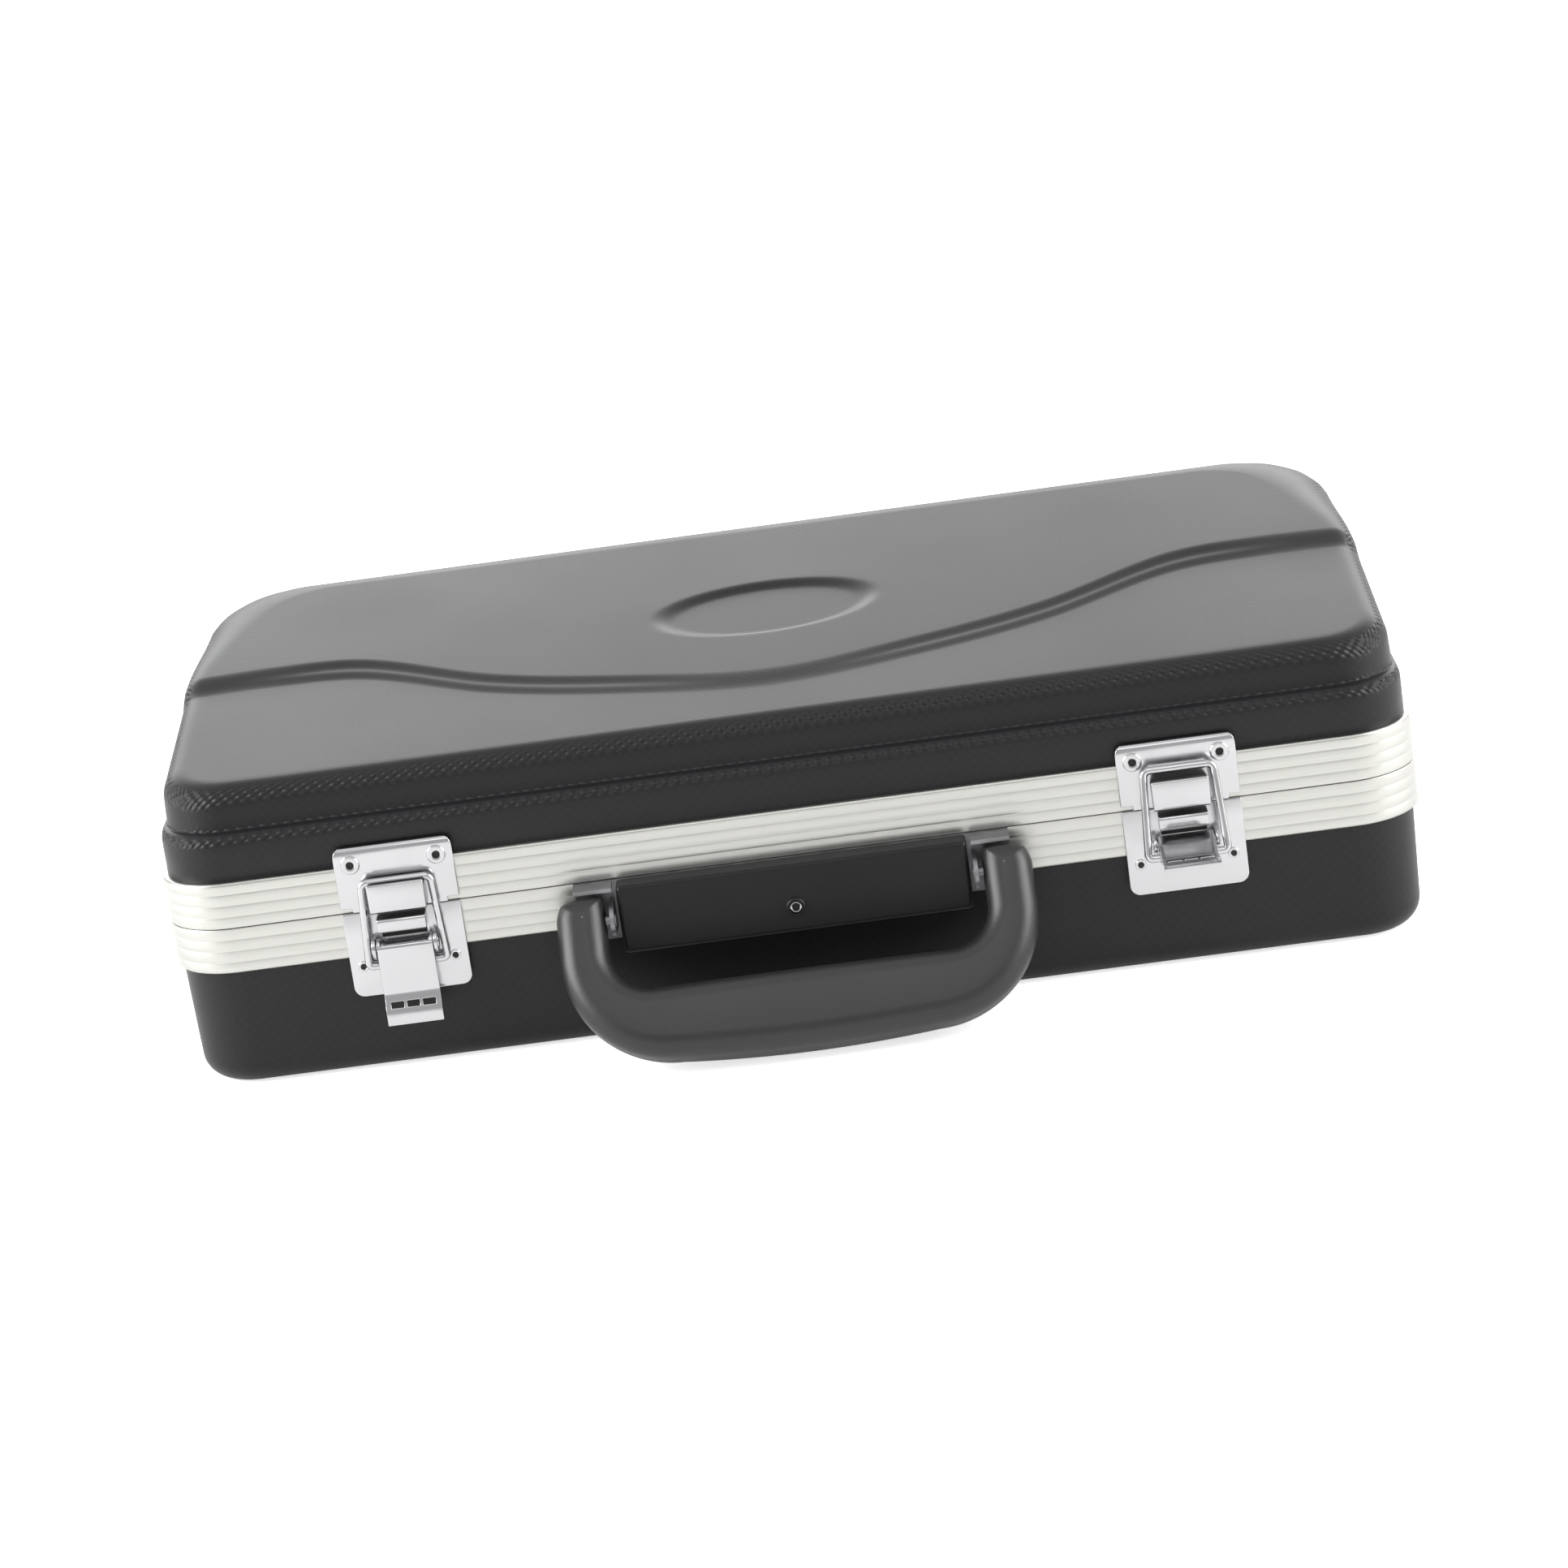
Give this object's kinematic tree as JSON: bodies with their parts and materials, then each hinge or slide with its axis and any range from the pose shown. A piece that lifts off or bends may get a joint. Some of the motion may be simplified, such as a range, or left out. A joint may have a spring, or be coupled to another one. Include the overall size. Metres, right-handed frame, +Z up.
{
  "type": "clarinet case",
  "caption": "Moulded hard case with a hinged lid, ribbed metal valances, draw latches and a carrying handle.",
  "frame": {"origin": "middle of the flat underside of the lower shell", "axes": "+X along the case's length to the right, +Y from the latch side to the hinge side, +Z up"},
  "size_m": [0.36, 0.2088, 0.11],
  "materials": {
    "black_shell": "fine-grained black moulded plastic with a soft sheen",
    "black_grip": "satin black moulded plastic",
    "black_cover": "satin black moulded plastic",
    "aluminium": "satin anodised extrusion with fine ribs",
    "chrome": "bright plated pressed steel",
    "steel": "plated steel",
    "plush": "short black plush over foam"
  },
  "bodies": {
    "base": {"base_shell": "black_shell", "base_valance": "aluminium", "lining_lower_joint": "plush", "lining_upper_joint": "plush", "lining_mouthpiece": "plush", "lining_barrel": "plush", "lining_reeds": "plush", "lining_bell": "plush", "latch_plate_left": "chrome", "latch_plate_right": "chrome", "latch_rivets": "chrome", "lever_pins": "chrome", "handle_bracket": "chrome", "bracket_rivets": "steel", "handle_cover": "black_cover", "handle_screw": "steel", "handle_pins": "steel", "hinge_leaf_base_left": "chrome", "hinge_leaf_base_right": "chrome", "hinge_pins": "steel", "hinge_rivets_base": "steel"},
    "lid": {"lid_shell": "black_shell", "lid_valance": "aluminium", "lid_liner": "plush", "catch_plate_left": "chrome", "catch_plate_right": "chrome", "catch_rivets": "chrome", "hinge_leaf_lid_left": "chrome", "hinge_leaf_lid_right": "chrome", "hinge_rivets_lid": "steel"},
    "handle": {"handle_grip": "black_grip"},
    "lever_l": {"lever_left": "chrome"},
    "bail_l": {"bail_left": "chrome"},
    "lever_r": {"lever_right": "chrome"},
    "bail_r": {"bail_right": "chrome"}
  },
  "joints": [
    {"name": "lid_hinge", "type": "hinge", "parent": "base", "child": "lid", "pos_m": [0, 0.0854, 0.049], "axis": [-1, 0, 0], "range_deg": [0, 105]},
    {"name": "handle_pivot", "type": "hinge", "parent": "base", "child": "handle", "pos_m": [0, -0.0913, 0.0396], "axis": [-1, 0, 0], "range_deg": [-32.5, 78.5]},
    {"name": "lever_left_pivot", "type": "hinge", "parent": "base", "child": "lever_l", "pos_m": [-0.1113, -0.0864, 0.039], "axis": [-1, 0, 0], "range_deg": [0, 108]},
    {"name": "bail_left_pivot", "type": "hinge", "parent": "lever_l", "child": "bail_l", "pos_m": [-0.1113, -0.0856, 0.0335], "axis": [-1, 0, 0], "range_deg": [-94, 0]},
    {"name": "lever_right_pivot", "type": "hinge", "parent": "base", "child": "lever_r", "pos_m": [0.1113, -0.0864, 0.039], "axis": [-1, 0, 0], "range_deg": [-78, 30]},
    {"name": "bail_right_pivot", "type": "hinge", "parent": "lever_r", "child": "bail_r", "pos_m": [0.1113, -0.09161, 0.03707], "axis": [-1, 0, 0], "range_deg": [-26.5, 68]}
  ],
  "couplings": [
    {"joint": "bail_left_pivot", "follows": "lever_left_pivot", "ratio": -0.865},
    {"joint": "bail_right_pivot", "follows": "lever_right_pivot", "ratio": -0.865}
  ]
}
